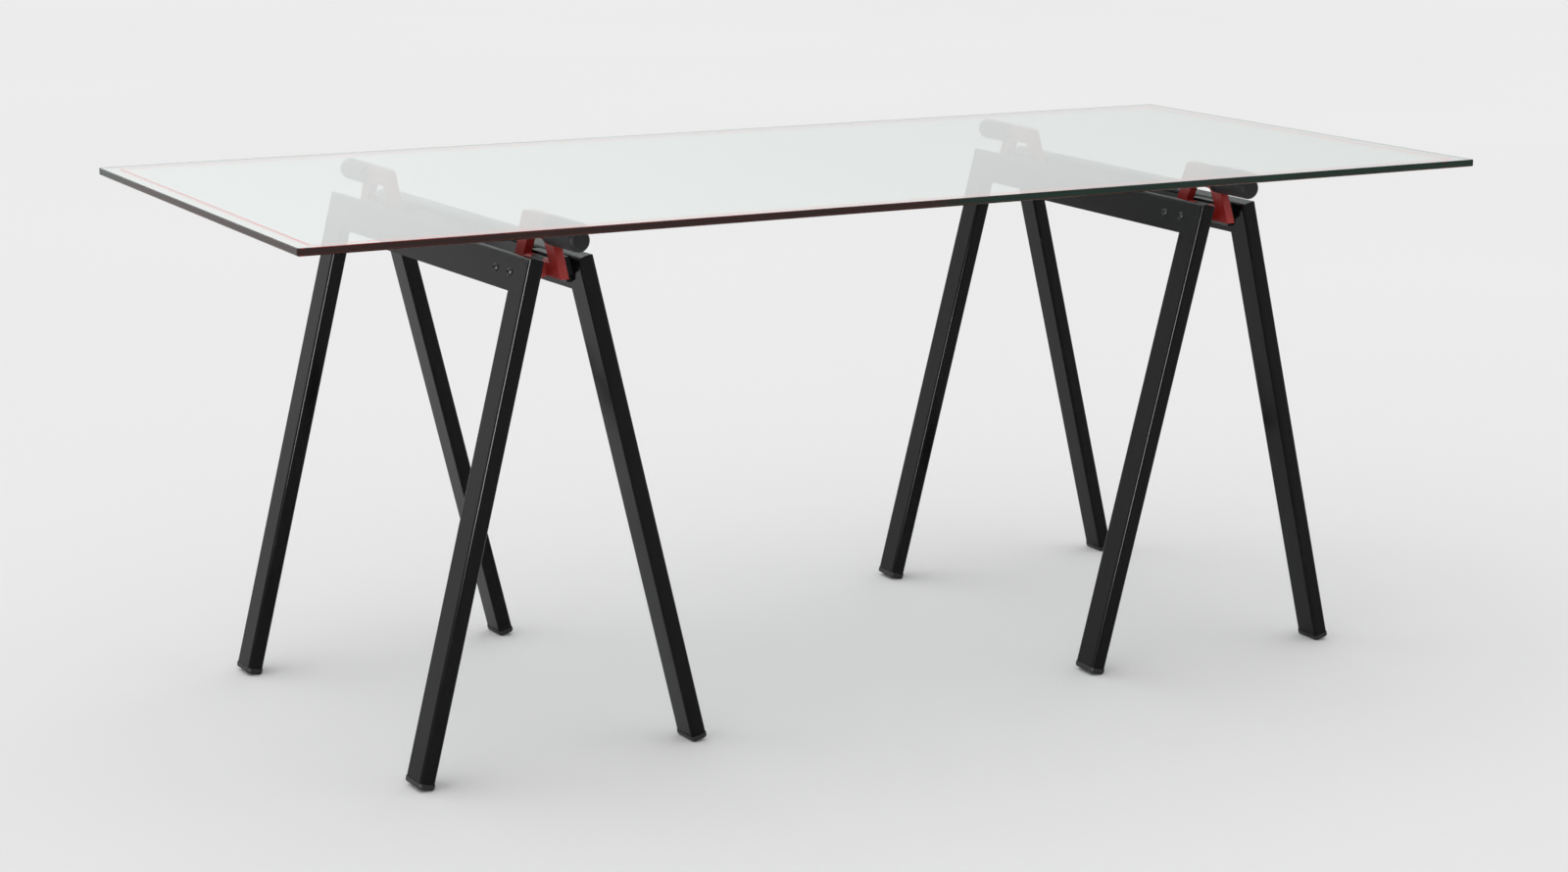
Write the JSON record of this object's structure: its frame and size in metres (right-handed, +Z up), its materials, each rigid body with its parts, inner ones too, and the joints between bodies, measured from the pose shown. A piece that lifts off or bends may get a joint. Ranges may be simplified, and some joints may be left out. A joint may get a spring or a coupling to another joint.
{
  "type": "glass-topped trestle table",
  "caption": "Trestle table: a loose rectangular glass top with a thin printed border on two black folding A-shaped trestles with red moulded hinge yokes and rubber sleeves.",
  "frame": {"origin": "on the floor, under the middle of the glass top", "axes": "+X along the top's long side to the right, +Y to the back, +Z up"},
  "size_m": [1.8, 0.8, 0.725],
  "materials": {
    "glass": "clear float glass with polished edges",
    "red_print": "fired enamel line on the underside of the glass",
    "black_lacquer": "semi-gloss black lacquer",
    "foot_plastic": "matt moulded",
    "beech": "plain turned wood",
    "black_steel": "black oxide, slightly glossy",
    "brass": "turned",
    "red_plastic": "moulded, semi-gloss with a fine grain",
    "black_plastic": "moulded, satin",
    "pin_steel": "ground",
    "black_rubber": "soft matt rubber"
  },
  "bodies": {
    "left_frame_a": {"left_frame_a_crossbar": "black_lacquer", "left_frame_a_leg_front": "black_lacquer", "left_frame_a_leg_back": "black_lacquer", "left_frame_a_foot_cap_front": "foot_plastic", "left_frame_a_foot_cap_back": "foot_plastic", "left_frame_a_dowels": "beech", "left_frame_a_bolts": "black_steel", "left_frame_a_inserts": "brass", "left_yoke_front": "red_plastic", "left_yoke_back": "red_plastic", "left_hinge_pin_front": "pin_steel", "left_hinge_pin_back": "pin_steel", "left_sleeve_front": "black_rubber", "left_sleeve_back": "black_rubber"},
    "left_frame_b": {"left_frame_b_crossbar": "black_lacquer", "left_frame_b_leg_front": "black_lacquer", "left_frame_b_leg_back": "black_lacquer", "left_frame_b_foot_cap_front": "foot_plastic", "left_frame_b_foot_cap_back": "foot_plastic", "left_frame_b_dowels": "beech", "left_frame_b_bolts": "black_steel", "left_frame_b_inserts": "brass", "left_bracket_front": "black_plastic", "left_bracket_back": "black_plastic"},
    "right_frame_a": {"right_frame_a_crossbar": "black_lacquer", "right_frame_a_leg_front": "black_lacquer", "right_frame_a_leg_back": "black_lacquer", "right_frame_a_foot_cap_front": "foot_plastic", "right_frame_a_foot_cap_back": "foot_plastic", "right_frame_a_dowels": "beech", "right_frame_a_bolts": "black_steel", "right_frame_a_inserts": "brass", "right_yoke_front": "red_plastic", "right_yoke_back": "red_plastic", "right_hinge_pin_front": "pin_steel", "right_hinge_pin_back": "pin_steel", "right_sleeve_front": "black_rubber", "right_sleeve_back": "black_rubber"},
    "right_frame_b": {"right_frame_b_crossbar": "black_lacquer", "right_frame_b_leg_front": "black_lacquer", "right_frame_b_leg_back": "black_lacquer", "right_frame_b_foot_cap_front": "foot_plastic", "right_frame_b_foot_cap_back": "foot_plastic", "right_frame_b_dowels": "beech", "right_frame_b_bolts": "black_steel", "right_frame_b_inserts": "brass", "right_bracket_front": "black_plastic", "right_bracket_back": "black_plastic"},
    "top": {"glass_top": "glass", "border_line": "red_print"}
  },
  "joints": [
    {"name": "left_trestle_fold", "type": "hinge", "parent": "left_frame_a", "child": "left_frame_b", "pos_m": [-0.53, 0.00013, 0.66], "axis": [-0.0436, 0.999, 0], "range_deg": [0, 28]},
    {"name": "right_trestle_fold", "type": "hinge", "parent": "right_frame_a", "child": "right_frame_b", "pos_m": [0.536, -0.00007, 0.66], "axis": [0.0227, 0.9997, 0], "range_deg": [0, 28]},
    {"name": "right_trestle_place", "type": "slide", "parent": "left_frame_a", "child": "right_frame_a", "axis": [1, 0, 0], "range_m": [-0.15, 0.1]},
    {"name": "top_lift", "type": "slide", "parent": "left_frame_a", "child": "top", "axis": [0, 0, 1], "range_m": [0, 0.3]}
  ]
}
